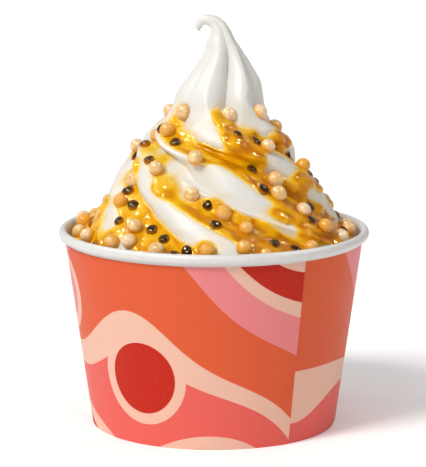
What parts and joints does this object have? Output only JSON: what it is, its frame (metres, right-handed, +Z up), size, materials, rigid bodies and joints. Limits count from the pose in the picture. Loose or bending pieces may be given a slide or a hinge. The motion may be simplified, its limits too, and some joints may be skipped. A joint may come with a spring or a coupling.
{
  "type": "frozen yogurt cup",
  "caption": "Paper tub with a rolled rim, filled with a tall ribbed soft-serve swirl that carries fruit pulp, seeds and crisp pearls.",
  "frame": {"origin": "centre of the tub's foot, on the surface it stands on", "axes": "+Z up through the swirl, -Y towards the front, +X to the right seen from the front"},
  "size_m": [0.1119, 0.1119, 0.1482],
  "materials": {
    "printed_card": "satin coated card with a warm abstract print and a white rim",
    "white_card": "satin white card",
    "yogurt": "soft satin, slightly translucent",
    "fruit_pulp": "wet and glossy, slightly translucent",
    "seeds": "wet and glossy",
    "crisp_pearls": "satin with fine pits"
  },
  "bodies": {
    "root": {"cup": "printed_card", "cup_base": "white_card", "frozen_yogurt": "yogurt"}
  },
  "joints": []
}
